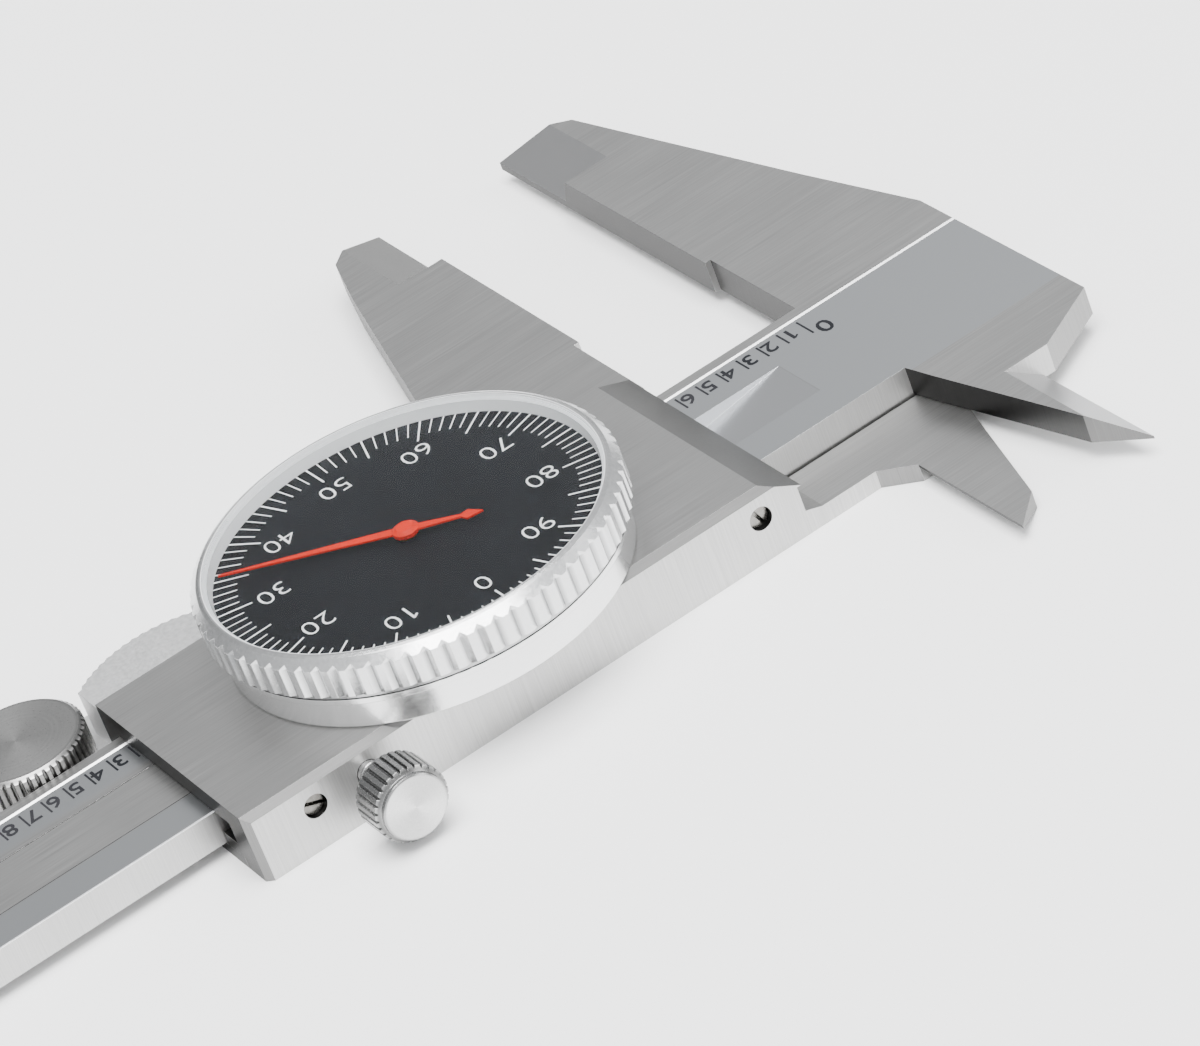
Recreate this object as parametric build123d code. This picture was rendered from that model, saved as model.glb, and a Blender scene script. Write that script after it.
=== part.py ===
"""Dial caliper of the 12 inch class, opened by 0.635 inch.

Frame: +X along the beam towards its tail, +Y towards the inside jaws,
+Z out of the dial.  While modelling, Y and Z are counted from the line the
photo was measured against and from the beam's front face; every solid is
moved by `shift` when it is written, so that the origin of the finished part
is the middle of the fixed outside jaw's measuring face.  Sizes are in mm.
"""
import os
from math import atan2, cos, degrees, pi, radians, sin, sqrt, tan

from build123d import *

# Driving sizes: the scale
inch = 25.4
tick = inch / 10                    # one beam division, one turn of the pointer
opening = 6.35 * tick               # jaw opening at rest, 0.635 inch
travel = 12 * inch                  # full travel from closed

# Driving sizes: the beam and its jaws
beam_far = -7.3                     # beam edge on the outside jaw side
beam_near = 12.4                    # beam edge on the inside jaw side
beam_t = 3.8                        # beam thickness, front face at Z = 0
beam_end = 386.0
head_x = -19.8                      # free end of the beam's head
jaw_tip = -68.2                     # Y of the outside jaw tips
jaw_step = -23.8                    # where the measuring faces start
jaw_thin = -54.0                    # beyond this the tips are thinned
relief = 0.65                       # step back behind the measuring faces
tip_land = 0.9                      # thickness left at the thinned tips
facet_w = 5.6                       # width of the sloped thinning facet
run_out = 1.6                       # the thinning cutter leaves the jaw over this length
nib_x = -10.25                      # line of the inside jaws' measuring edges
nib_tip = 41.0                      # Y of the inside jaw tips
nib_split = 3.25                    # depth of the plane the two nibs meet at
nib_gap = 0.1                       # clearance between the crossing nibs
nib_bevel = 3.9                     # width of the knife bevel
nib_land = 0.3                      # flat left at the measuring edge
chan_far, chan_near = 0.0, 7.66     # rack channel in the beam
chan_deep = 1.8
chan_start, chan_full = 6.3, 18.0   # the cutter runs out towards the head
ridge_y, ridge_w, ridge_deep = -5.7, 0.44, 0.16

# Driving sizes: fits
slide_gap = 0.12                    # slider to beam, front and edges
running = 0.05                      # running fit, on the radius
thread_gap = 0.06                   # plain hole round a screw's plain shank
seat = 0.05                         # pieces that are screwed or laid together
past = 1.0                          # how far a cutter reaches past a face

# Driving sizes: the slider
index = 0.8                         # reading edge sits this far behind the jaw face
slider_len = 64.87                  # reading edge to tail face
plate_top = 2.4                     # front of the slider above the beam
far_wall = 3.5
near_wall = 7.6
below = 1.5                         # slider's walls reach this far past the beam
edge_chamfer = 0.75
bevel_len = 4.1                     # length of the reading bevel
cover_t = 1.35
rod_top, rod_t = -0.04, 0.7          # flat depth rod in the mouth of the rack channel
rod_gaps = 0.03, 0.1                # its clearance to the channel's far and near wall
gib_t = 1.45
gib_room = 0.4                      # play of the gib in its pocket
screw_z = -0.65                     # height of the gib screws and the lock screw
set_r, lock_r = 1.2, 1.25
screw_r, screw_head = 0.72, 1.25    # the small cheese head screws

# Driving sizes: the thumb roller and its rest
roller_r = 7.05
roller_t = 4.1
roller_past = 7.85                  # roller axis beyond the slider's tail
rest_len = 19.0
rest_top = 2.0

# Driving sizes: rack and wheels
pitch = inch / 20
pinion_n, wheel_n, small_n = 10, 50, 10
small_m = 0.24                      # tooth size of the dial train
add, ded = 0.34, 0.42               # rack tooth above and below its pitch line
tip_play = 0.02
arbor_r = 0.55
wheel_t = 0.5

# Driving sizes: the dial
dial_rel = 33.72                    # dial centre behind the reading edge
dial_y = 4.34
neck_r = 20.2                       # the bezel turns on this
base_rim = 0.7                      # plain base ring beyond the neck
bezel_wall = 1.8
base_h, neck_h = 3.8, 2.0
bead_w, bead_h = 0.5, 0.6           # bead round the top of the base ring
bezel_gap = 0.2                     # the bezel stands this far above the bead
face_rise, face_t = 1.0, 0.5        # dial face above the neck
crystal_rise, crystal_t = 1.3, 0.5  # crystal above the dial face
lip_rise = 0.15                     # bezel above the crystal
dial_turn = 1.45                    # the bezel stands this far off square, degrees
flutes = 75
lock_flutes, roller_flutes = 30, 52
flute_deep = 0.42

# Derived places
xr = opening + index                # reading edge at rest
xt = xr + slider_len                # tail face of the slider
slider_far, slider_near = beam_far - far_wall, beam_near + near_wall
slider_bottom = -beam_t - below
xc, yc = xr + dial_rel, dial_y      # pointer axis
pinion_r = pinion_n * pitch / (2 * pi)
rack_tip = chan_near - 1.36
ya = rack_tip + add - pinion_r - tip_play
small_d = small_m * (wheel_n + small_n) / 2
xa = xc - sqrt(small_d ** 2 - (yc - ya) ** 2)
alpha = degrees(atan2(yc - ya, xc - xa))
xb = xc + small_d * cos(radians(alpha))
yb = yc + small_d * sin(radians(alpha))
xroll, yroll = xt + roller_past, beam_far - roller_r - running
shift = (0.0, -(jaw_step + jaw_thin) / 2, beam_t / 2)

os.makedirs("parts", exist_ok=True)


# Helpers
def save(name, *solids):
    """Write one node, moved into the part's own frame."""
    placed = [solid.moved(Location(shift)) for solid in solids]
    shape = Compound(children=placed) if len(placed) > 1 else placed[0]
    export_step(shape, f"parts/{name}.step")


def prism(points, z0, z1):
    """Closed outline in XY, extruded from z0 to z1."""
    face = make_face(Polyline(*points, close=True))
    return extrude(face.moved(Location((0, 0, z0))), z1 - z0, dir=(0, 0, 1))


def box(x0, x1, y0, y1, z0, z1):
    size = (x1 - x0, y1 - y0, z1 - z0)
    return Pos((x0 + x1) / 2, (y0 + y1) / 2, (z0 + z1) / 2) * Box(*size)


def post(x, y, r, z0, z1):
    """Cylinder standing along Z."""
    return Pos(x, y, (z0 + z1) / 2) * Cylinder(r, z1 - z0)


def pin(x, z, r, y0, y1):
    """Cylinder lying along Y."""
    return Pos(x, (y0 + y1) / 2, z) * Rot(90, 0, 0) * Cylinder(r, y1 - y0)


def bar_x(points, x0, x1):
    """Outline in YZ, extruded along X."""
    wire = Polyline(*[(x0, y, z) for y, z in points], close=True)
    return extrude(make_face(wire), x1 - x0, dir=(1, 0, 0))


def bar_y(points, y0, y1):
    """Outline in XZ, extruded along Y."""
    wire = Polyline(*[(x, y0, z) for x, z in points], close=True)
    return extrude(make_face(wire), y1 - y0, dir=(0, 1, 0))


def spun(points, x, y):
    """Outline of radius and height, turned about Z at x, y."""
    wire = Polyline(*[(r, 0, z) for r, z in points], close=True)
    return Pos(x, y, 0) * revolve(make_face(wire), Axis.Z)


def polar(x, y, r, angle):
    return x + r * cos(radians(angle)), y + r * sin(radians(angle))


def teeth(n, r_tip, r_root, at_tip, at_root, first, x, y):
    """Outline of a toothed wheel; at_tip and at_root are tooth widths."""
    out = []
    for i in range(n):
        mid = first + 360 * i / n
        for r, w in ((r_root, -at_root), (r_tip, -at_tip), (r_tip, at_tip), (r_root, at_root)):
            out.append(polar(x, y, r, mid + degrees(w / (2 * r))))
    return out


def ribs(n, profile, x, y):
    """Outline of a gripped rim; profile gives angle and radius within one rib."""
    return [polar(x, y, r, 360 * i / n + a) for i in range(n) for a, r in profile]


def cheese_screw(x, y, z_seat, z_end, r, r_head, head_t):
    """Slotted screw along Z; the head lies on the far side of z_seat from z_end."""
    side = 1 if z_end < z_seat else -1
    head_end = z_seat + side * head_t
    body = post(x, y, r, min(z_seat, z_end), max(z_seat, z_end))
    body += post(x, y, r_head, min(z_seat, head_end), max(z_seat, head_end))
    return body - Pos(x, y, head_end) * Box(2 * r_head + 1, 0.3 * r_head, head_t)


# Beam with the fixed jaws
def tip_facet(x_face, side):
    """Slope that thins an outside jaw's tip towards its measuring edge."""
    drop = (beam_t - tip_land) * (1 + past / facet_w)
    x_high, x_low = x_face + side * facet_w, x_face - side * past
    slope = bar_y([(x_high, 0), (x_low, -drop), (x_low, past), (x_high, past)],
                  jaw_tip - past, jaw_thin + run_out)
    deep = beam_t - tip_land
    leave = bar_x([(jaw_tip - 2 * past, -beam_t), (jaw_thin - run_out * tip_land / deep, -beam_t),
                   (jaw_thin + run_out, 0), (jaw_thin + run_out, 2 * past),
                   (jaw_tip - 2 * past, 2 * past)], min(x_high, x_low) - past, max(x_high, x_low) + past)
    return slope & leave


outside_jaw = [
    (beam_end, beam_far), (-relief, beam_far), (-relief, jaw_step), (0, jaw_step),
    (0, jaw_tip), (-5.7, jaw_tip + 3.6), (-7.6, jaw_tip + 5.2), (-15.6, jaw_step - 4.9),
    (head_x, beam_far - 4.6), (head_x, beam_near), (beam_end, beam_near)]
beam = prism(outside_jaw, -beam_t, 0) - tip_facet(0, -1)

# the head and the fixed inside jaw are thinner than the beam, so that the
# moving inside jaw passes behind them
nib_root = beam_near + 3.8
nib_step = beam_near + 10.0
nib_floor = -nib_split + nib_gap / 2
head = prism([
    (head_x, beam_near - past), (head_x, beam_near + 5.2), (nib_x - 1.35, nib_step),
    (nib_x, nib_step), (nib_x, nib_tip), (nib_x + 3.97, nib_tip - 5.1),
    (nib_x + 8.51, nib_root), (nib_x + 9.3, beam_near), (nib_x + 9.3, beam_near - past)],
    nib_floor, 0)
knife_low = nib_floor + nib_land
knife_fall = -knife_low * past / nib_bevel
head -= bar_y([(nib_x - past, knife_low - knife_fall), (nib_x + nib_bevel, 0),
               (nib_x + nib_bevel, past), (nib_x - past, past)], nib_step, nib_tip + past)
beam += head

# rack channel, run out towards the head and open at the tail
beam -= bar_y([(chan_start, 0), (chan_full, -chan_deep), (beam_end + past, -chan_deep),
               (beam_end + past, past), (chan_start, past)], chan_far, chan_near)

# fine line between the scale and the far edge
beam -= bar_x([(ridge_y - ridge_w / 2, 0), (ridge_y, -ridge_deep), (ridge_y + ridge_w / 2, 0),
               (ridge_y + ridge_w / 2, past), (ridge_y - ridge_w / 2, past)],
              head_x - past, beam_end + past)

stop_x = beam_end - 5.5
stop_screws = [(stop_x, beam_far + 8.9), (stop_x, beam_near - 3.0)]
stop_t = 1.3
stop_seat = -beam_t - stop_t / 2
stop_depth = beam_t - 1.6
for x, y in stop_screws:
    beam -= post(x, y, screw_r + thread_gap, -beam_t - past, -stop_depth)
save("beam_with_fixed_jaws", beam)

# Rack, with a gap of its teeth centred on the pinion at rest
rack_ends = pitch * 5.5
tan20 = tan(radians(20))
w_pitch = 0.43 * pitch
w_tip, w_root = w_pitch - 2 * add * tan20, w_pitch + 2 * ded * tan20
rack_root = rack_tip + add + ded
before = int((opening + rack_ends) / pitch) + 1
after = int((travel - opening + rack_ends) / pitch) + 1
rack_pts = []
for i in range(-before, after):
    mid = xa + (i + 0.5) * pitch
    rack_pts += [(mid - w_root / 2, rack_root), (mid - w_tip / 2, rack_tip),
                 (mid + w_tip / 2, rack_tip), (mid + w_root / 2, rack_root)]
x_lo, x_hi = rack_pts[0][0] - past, rack_pts[-1][0] + past
rack_pts = [(x_lo, rack_root)] + rack_pts + [
    (x_hi, rack_root), (x_hi, chan_near), (x_lo, chan_near)]
save("rack", prism(rack_pts, -chan_deep, -chan_deep / 2))

# End stop
stop = box(beam_end - 9, beam_end - 1, beam_far + 1.6, beam_near - 1.2,
           -beam_t - stop_t, -beam_t)
for x, y in stop_screws:
    stop -= post(x, y, screw_r + thread_gap, -beam_t - stop_t - past, -beam_t + past)
    stop -= post(x, y, screw_head + seat, -beam_t - stop_t - past, stop_seat)
save("end_stop", stop)
save("end_stop_screws",
     *[cheese_screw(x, y, stop_seat, -stop_depth - 0.2, screw_r, screw_head, 0.55)
       for x, y in stop_screws])

# Slider frame with the moving jaws
wall_near = beam_near + 0.3         # lower part of the near wall
gib_far = beam_near + 0.03          # gib bears lightly on the beam
gib_back = gib_far + gib_t
pocket_near = gib_back + 1.82       # gib pocket
pocket_low = -2.4

frame = box(xr, xt, slider_far, slider_near, slide_gap, plate_top)
frame += box(xr, xt, slider_far, beam_far - slide_gap, slider_bottom, slide_gap)
frame += box(xr + 0.5, xt, wall_near, slider_near, slider_bottom, slide_gap)

jaw_root = slider_far + past
frame += prism([
    (opening, jaw_tip), (opening, jaw_step), (opening + relief, jaw_step),
    (opening + relief, jaw_root), (opening + 21.2, jaw_root),
    (opening + 21.2, slider_far - 0.4), (opening + 16.1, jaw_step - 7.6),
    (opening + 10.1, jaw_thin - 0.8), (opening + 7.6, jaw_tip + 5.2),
    (opening + 5.7, jaw_tip + 3.4)], -beam_t, 0)
frame -= tip_facet(opening, 1)
# slope from the plate down to the jaw
frame += bar_x([(jaw_root, 0), (slider_far - 1.7, 0), (slider_far, plate_top),
                (jaw_root, plate_top)], xr, opening + 21.0)

# reading bevel
bevel_fall = (plate_top - slide_gap) / bevel_len
frame -= bar_y([(xr + bevel_len, plate_top), (xr + bevel_len, plate_top + past),
                (xr - past, plate_top + past), (xr - past, slide_gap - bevel_fall)],
               slider_far - 3, slider_near + past)

# moving inside jaw, in the plane behind the fixed one
nx = nib_x + opening
nib_top = -nib_split - nib_gap / 2
nib = prism([
    (xr + past, wall_near), (xr + past, slider_near), (nx + 3.2, slider_near),
    (nx, slider_near + 3.0), (nx, nib_tip), (nx - 3.95, nib_tip - 4.0),
    (nx - 8.05, nib_step - 0.5), (nx - 9.6, nib_root), (nx - 9.6, wall_near)],
    slider_bottom, nib_top)
knife_high = nib_top - nib_land
knife_rise = (knife_high - slider_bottom) * past / nib_bevel
nib -= bar_y([(nx + past, knife_high + knife_rise), (nx - nib_bevel, slider_bottom),
              (nx - nib_bevel, slider_bottom - past), (nx + past, slider_bottom - past)],
             slider_near + 3.0, nib_tip + past)
frame += nib
# root of the nib rises to the near wall
frame += bar_y([(xr + past, nib_top), (xr - 1.4, nib_top), (xr + 0.8, nib_top + 0.7),
                (xr + past, nib_top + 0.7)], wall_near, slider_near)

# gib pocket, screw holes, lock screw hole
set_xs = (xr + 5.17, xt - 7.2)
lock_x = xt - 13.35
frame -= box(xr - past, xt + past, wall_near - past, pocket_near, pocket_low, slide_gap)
for x in set_xs:
    frame -= pin(x, screw_z, set_r + thread_gap, gib_back, slider_near + past)
frame -= pin(lock_x, screw_z, lock_r + running, gib_back, slider_near + past)

# room for the back cover behind a lip at the reading end
lip = 0.9
cover_near = pocket_near + 0.2
frame -= box(xr + lip, xt + past, slider_far - past, cover_near, slider_bottom - past,
             slider_bottom + cover_t)
frame += box(xr, xr + lip, slider_far, beam_far - slide_gap, slider_bottom, -beam_t)

# holes under the dial: rack pinion, centre pivot, four screws of the base
base_screws = [polar(xc, yc, neck_r - 6.7, a) for a in (50, 130, 230, 310)]
frame -= post(xa, ya, pinion_r + add + 0.54, 0, plate_top + past)
frame -= post(xc, yc, 1.2, 0, plate_top + past)
for x, y in base_screws:
    frame -= post(x, y, screw_r + thread_gap, 0, plate_top + past)

# chamfers on the near top edge and the tail corner
c = edge_chamfer
frame -= bar_x([(slider_near - c, plate_top), (slider_near + past, plate_top - c - past),
                (slider_near + past, plate_top + past), (slider_near - c, plate_top + past)],
               xr - 2, xt + past)
frame -= prism([(xt - 0.7, slider_near), (xt + past, slider_near - 0.7 - past),
                (xt + past, slider_near + past), (xt - 0.7, slider_near + past)],
               slider_bottom - past, plate_top + past)

# holes for the screws of the depth rod, the back cover and the thumb rest
anchor_x = xt - 9.0
rod_screw_r = 0.53
rod_screws = [(anchor_x + side * 2.2, chan_far + 2.6) for side in (-1, 1)]
for x, y in rod_screws:
    frame -= post(x, y, rod_screw_r + thread_gap, 0, slide_gap + 1.6)
cover_screws = [(x, y) for x in (xr + 5, xt - 5)
                for y in (slider_far + 1.7, cover_near - 1.6)]
for x, y in cover_screws:
    frame -= post(x, y, screw_r + thread_gap, slider_bottom - past, slider_bottom + 2.7)
rest_screws = (xt - rest_len + 4, xt - 3.6)
rest_z = -beam_t / 2
for x in rest_screws:
    frame -= pin(x, rest_z, screw_r + thread_gap, slider_far - past, beam_far)
save("slider_frame_with_moving_jaws", frame)

# Back cover
cover_seat = slider_bottom + 0.6
cover = box(xr + lip + seat, xt, slider_far, cover_near - seat, slider_bottom,
            slider_bottom + cover_t - 0.02)
for x, y in cover_screws:
    cover -= post(x, y, screw_r + thread_gap, slider_bottom - past, slider_bottom + 2)
    cover -= post(x, y, screw_head + seat, slider_bottom - past, cover_seat)
save("back_cover", cover)
save("back_cover_screws",
     *[cheese_screw(x, y, cover_seat, slider_bottom + 2.6, screw_r, screw_head, 0.5)
       for x, y in cover_screws])

# Depth rod, held under the plate by a low pad; it keeps chips off the rack
rod_root = anchor_x - 4.5
rod_far, rod_near = chan_far + rod_gaps[0], chan_near - rod_gaps[1]
rod_low = rod_top - rod_t
rod_seat = rod_low + 0.3
rod = box(rod_root, beam_end + opening, rod_far, rod_near, rod_low, rod_top)
rod += box(rod_root, anchor_x + 4, rod_far + 0.6, rack_tip, rod_low, slide_gap)
for x, y in rod_screws:
    rod -= post(x, y, rod_screw_r + thread_gap, rod_low - past, slide_gap + past)
    rod -= post(x, y, 2 * rod_screw_r, rod_low - past, rod_seat)
save("depth_rod", rod)
save("depth_rod_screws",
     *[cheese_screw(x, y, rod_seat, slide_gap + 1.5, rod_screw_r, 2 * rod_screw_r - seat, 0.4)
       for x, y in rod_screws])

# Gib, its set screws and the lock screw
save("gib", box(xr + 2.5, xt - 2.5, gib_far, gib_back, pocket_low + 0.1, slide_gap - 0.12))


def set_screw(x, turn):
    end = slider_near - 0.7
    body = pin(x, screw_z, set_r, gib_back + 0.01, end)
    return body - Pos(x, end, screw_z) * Rot(0, turn, 0) * Box(0.3 * set_r, 1.2, 3)


save("gib_set_screws", *[set_screw(x, turn) for x, turn in zip(set_xs, (25, 70))])

head_r = 3.95
head_start, head_end = slider_near + 4.2, slider_near + 9.2
grip = [(-4.9, head_r - 0.25), (-3.3, head_r), (3.3, head_r), (4.9, head_r - 0.25)]
knurl = [(x, head_start, z) for x, z in ribs(lock_flutes, grip, lock_x, screw_z)]
drum = extrude(make_face(Polyline(*knurl, close=True)), head_end - head_start, dir=(0, 1, 0))
taper = Pos(lock_x, 0, screw_z) * revolve(make_face(Polyline(
    (0, head_start, 0), (head_r - 0.4, head_start, 0), (head_r + 0.1, head_start + 0.5, 0),
    (head_r + 0.1, head_end - 1.0, 0), (head_r - 0.5, head_end - 0.5, 0),
    (head_r - 0.55, head_end - 0.12, 0), (head_r - 0.7, head_end, 0), (0, head_end, 0),
    close=True)), Axis.Y)
shank = pin(lock_x, screw_z, lock_r, gib_back + 0.15, head_start + 0.1)
save("lock_screw", shank + (drum & taper))

# Thumb rest, its rim on a circle through three places of its edge
(x1, y1), (x2, y2), (x3, y3) = (xt, slider_far - 4.1), (xt - 9.0, slider_far - 7.2), (
    xt - 14.6, slider_far - 5.5)
d = 2 * (x1 * (y2 - y3) + x2 * (y3 - y1) + x3 * (y1 - y2))
s1, s2, s3 = x1 ** 2 + y1 ** 2, x2 ** 2 + y2 ** 2, x3 ** 2 + y3 ** 2
cx = (s1 * (y2 - y3) + s2 * (y3 - y1) + s3 * (y1 - y2)) / d
cy = (s1 * (x3 - x2) + s2 * (x1 - x3) + s3 * (x2 - x1)) / d
rim_r = sqrt((x1 - cx) ** 2 + (y1 - cy) ** 2)
rim_low = slider_far - 0.9 - cy
a_start = degrees(atan2(y1 - cy, x1 - cx)) % 360
a_end = (180 + degrees(atan2(-rim_low, sqrt(rim_r ** 2 - rim_low ** 2)))) % 360
scallops, scallop_deep = 20, 0.22
step = (a_end - a_start) / scallops
rim = [polar(cx, cy, r, a_start + step * (i + part)) for i in range(scallops)
       for part, r in ((0.0, rim_r), (0.5, rim_r - scallop_deep))]
rim.append(polar(cx, cy, rim_r, a_end))
gap_start = xt - 7.2                # a thin gap to the plate ahead of this
rest = prism([(xt, slider_far)] + rim + [
    (rim[-1][0], slider_far - 0.3), (gap_start, slider_far - 0.3), (gap_start, slider_far)],
    slider_bottom, rest_top)
# lower arm that carries the roller
roll_hi = 1.5
roll_lo = roll_hi - roller_t
arm_hi = roll_lo - 0.5
arm_lo = arm_hi - 1.6
arm_r = 5.4
axle_r = 1.5
arm = prism([(xt - 6, yroll - 3.4), (xroll, yroll - arm_r), (xroll, yroll + arm_r),
             (xt + 2.0, beam_far - 0.35), (xt - 0.2, beam_far - 0.35), (xt - 0.2, slider_far),
             (xt - 6, slider_far)], arm_lo, arm_hi)
arm += post(xroll, yroll, arm_r, arm_lo, arm_hi)
arm -= box(xt - 8, xt, slider_far - 0.001, 0, arm_lo - past, arm_hi + past)
rest += arm
rest -= post(xroll, yroll, axle_r + running, arm_lo - past, arm_hi + past)
side_seat = slider_far - 2.6
side_head = 0.9
for x in rest_screws:
    rest -= pin(x, rest_z, screw_r + thread_gap, yroll - roller_r, slider_far + past)
    rest -= pin(x, rest_z, screw_head + 0.1, yroll - roller_r, side_seat)
save("thumb_rest", rest)


def side_screw(x):
    body = pin(x, rest_z, screw_r, side_seat, beam_far - 0.6)
    body += pin(x, rest_z, screw_head, side_seat - side_head, side_seat)
    return body - Pos(x, side_seat - side_head, rest_z) * Box(4, side_head, 0.4)


save("thumb_rest_screws", *[side_screw(x) for x in rest_screws])

# Thumb roller and its clip
notch = [(-2.6, roller_r - 0.3), (-1.6, roller_r), (1.6, roller_r), (2.6, roller_r - 0.3)]
roller = prism(ribs(roller_flutes, notch, xroll, yroll), roll_lo, roll_hi) & spun(
    [(0, roll_lo), (roller_r - 0.3, roll_lo), (roller_r + 0.1, roll_lo + 0.4),
     (roller_r + 0.1, roll_hi - 0.5), (roller_r - 0.5, roll_hi), (0, roll_hi)], xroll, yroll)
clip_t = 0.4
clip_hi = arm_lo - 0.1
clip_lo = clip_hi - clip_t
clip_bore = 1.1
roller += post(xroll, yroll, axle_r + 1.1, arm_hi + 0.1, roll_lo + 0.1)
roller += post(xroll, yroll, axle_r, clip_hi, roll_lo)
roller += post(xroll, yroll, clip_bore, clip_lo - 0.05, clip_hi + 0.01)
save("thumb_roller", roller)
clip = post(xroll, yroll, axle_r + 1.0, clip_lo, clip_hi)
clip -= post(xroll, yroll, clip_bore, clip_lo - past, clip_hi + past)
clip -= box(xroll - 0.8, xroll + 0.8, yroll - 4, yroll, clip_lo - past, clip_hi + past)
save("roller_clip", clip)

# Dial base, its screws and the spring ring that drags on the bezel
dial_r = neck_r + base_rim
base_top = plate_top + base_h
neck_top = base_top + neck_h
floor_top = plate_top + 0.9
drag_lo, drag_t, drag_deep = base_top + 0.8, 0.4, 0.5
neck_in = neck_r - 1.4
base = spun([(0, plate_top), (dial_r - 0.25, plate_top), (dial_r, plate_top + 0.25),
             (dial_r, base_top - bead_h - 0.15), (dial_r + bead_w, base_top - bead_h),
             (dial_r + bead_w, base_top), (neck_r, base_top), (neck_r, drag_lo),
             (neck_r - drag_deep, drag_lo), (neck_r - drag_deep, drag_lo + drag_t),
             (neck_r, drag_lo + drag_t), (neck_r, neck_top), (neck_in, neck_top),
             (neck_in, floor_top), (0, floor_top)], xc, yc)
pivots = [(xa, ya), (xc, yc), (xb, yb)]
bush_r = arbor_r + 0.45
for x, y in pivots:
    base -= post(x, y, bush_r, plate_top - past, floor_top + past)
base_seat = floor_top - 0.5
for x, y in base_screws:
    base -= post(x, y, screw_r + thread_gap, plate_top - past, floor_top + past)
    base -= post(x, y, screw_head + 0.1, base_seat, floor_top + past)
bridge_posts = [(xc, yc - 11.0), (xc, yc + 11.0)]
bridge_screw_r = 0.58
for x, y in bridge_posts:
    base -= post(x, y, bridge_screw_r + thread_gap, plate_top + 0.2, floor_top + past)
save("dial_base", base)
save("dial_base_screws",
     *[cheese_screw(x, y, base_seat, 0.5, screw_r, screw_head, 0.5) for x, y in base_screws])
ring = spun([(neck_r - drag_deep + seat, drag_lo + seat), (neck_r, drag_lo + seat),
             (neck_r, drag_lo + drag_t - seat),
             (neck_r - drag_deep + seat, drag_lo + drag_t - seat)], xc, yc)
ring -= box(xc - 1.2, xc + 1.2, yc - neck_r - past, yc, base_top, neck_top)
save("bezel_drag_ring", ring)

# Movement: bridge, bushes, wheels
bridge_lo = plate_top + 3.6
bridge_hi = bridge_lo + 0.8
bridge = box(xc - 2.6, xc + 2.6, yc - 12.6, yc + 12.6, bridge_lo, bridge_hi)
bridge += box(xa - 2.2, xb + 2.2, yc - 2.2, yc + 2.2, bridge_lo, bridge_hi)
for x, y in bridge_posts:
    bridge += post(x, y, 1.7, floor_top, bridge_lo)
    bridge -= post(x, y, bridge_screw_r + thread_gap, plate_top, bridge_hi + past)
for x, y in pivots:
    bridge -= post(x, y, bush_r, bridge_lo - past, bridge_hi + past)
save("movement_bridge", bridge)
save("movement_bridge_screws",
     *[cheese_screw(x, y, bridge_hi, plate_top + 0.3, bridge_screw_r, 2 * bridge_screw_r, 0.5)
       for x, y in bridge_posts])
pivot_gap = 0.03
save("pivot_bushes",
     *[post(x, y, bush_r, z0, z1) - post(x, y, arbor_r + pivot_gap, z0 - past, z1 + past)
       for x, y in pivots for z0, z1 in ((plate_top, floor_top), (bridge_lo, bridge_hi))])

# rack pinion on its arbor, with the large wheel
tooth_lo, tooth_hi = -chan_deep + 0.1, -chan_deep / 2 - 0.1
arbor = prism(teeth(pinion_n, pinion_r + add - tip_play, pinion_r - ded, 0.25, 0.56, 90, xa, ya),
              tooth_lo, tooth_hi)
arbor += post(xa, ya, 1.5, tooth_hi, plate_top - 0.1)
arbor += post(xa, ya, arbor_r, tooth_lo, bridge_hi)
save("rack_pinion_arbor", arbor)

tooth = pi * small_m
small_add, small_ded = 0.9 * small_m, 1.2 * small_m
wheel_r, small_r = small_m * wheel_n / 2, small_m * small_n / 2
drive_lo = floor_top + 0.7
return_lo = drive_lo + 0.9


def wheel(first, x, y, z0):
    """Large wheel of the dial train with four windows."""
    disc = prism(teeth(wheel_n, wheel_r + small_add, wheel_r - small_ded,
                       0.20 * tooth, 0.66 * tooth, first, x, y), z0, z0 + wheel_t)
    for a in (45, 135, 225, 315):
        disc -= post(*polar(x, y, 0.55 * wheel_r, a), 1.5, z0 - past, z0 + past)
    return disc - post(x, y, arbor_r, z0 - past, z0 + past)


save("drive_wheel", wheel(alpha, xa, ya, drive_lo))
centre = prism(teeth(small_n, small_r + small_add, small_r - small_ded,
                     0.17 * tooth, 0.50 * tooth, alpha + 18, xc, yc),
               drive_lo - 0.3, return_lo + wheel_t + 0.3)
face_top = neck_top + face_rise
pointer_lo, pointer_t = face_top + 0.55, 0.2
centre += post(xc, yc, arbor_r, plate_top, pointer_lo + pointer_t + 0.05)
save("centre_pinion", centre)

# wheel that takes up the backlash, with its hairspring
save("return_wheel", wheel(alpha + 180, xb, yb, return_lo))
save("return_wheel_arbor", post(xb, yb, arbor_r, plate_top, bridge_hi)
     + post(xb, yb, arbor_r + 0.4, floor_top + 0.3, return_lo))
turns, r_in, r_out, strip = 3.25, 1.3, 4.6, 0.14
steps = int(turns * 16)
inner, outer = [], []
for i in range(steps + 1):
    angle = 360 * turns * i / steps
    r = r_in + (r_out - r_in) * i / steps
    inner.append(polar(xb, yb, r - strip / 2, angle))
    outer.append(polar(xb, yb, r + strip / 2, angle))
spring_lo = return_lo + wheel_t + 0.15
save("hairspring", prism(outer + inner[::-1], spring_lo, spring_lo + 0.25))

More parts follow.
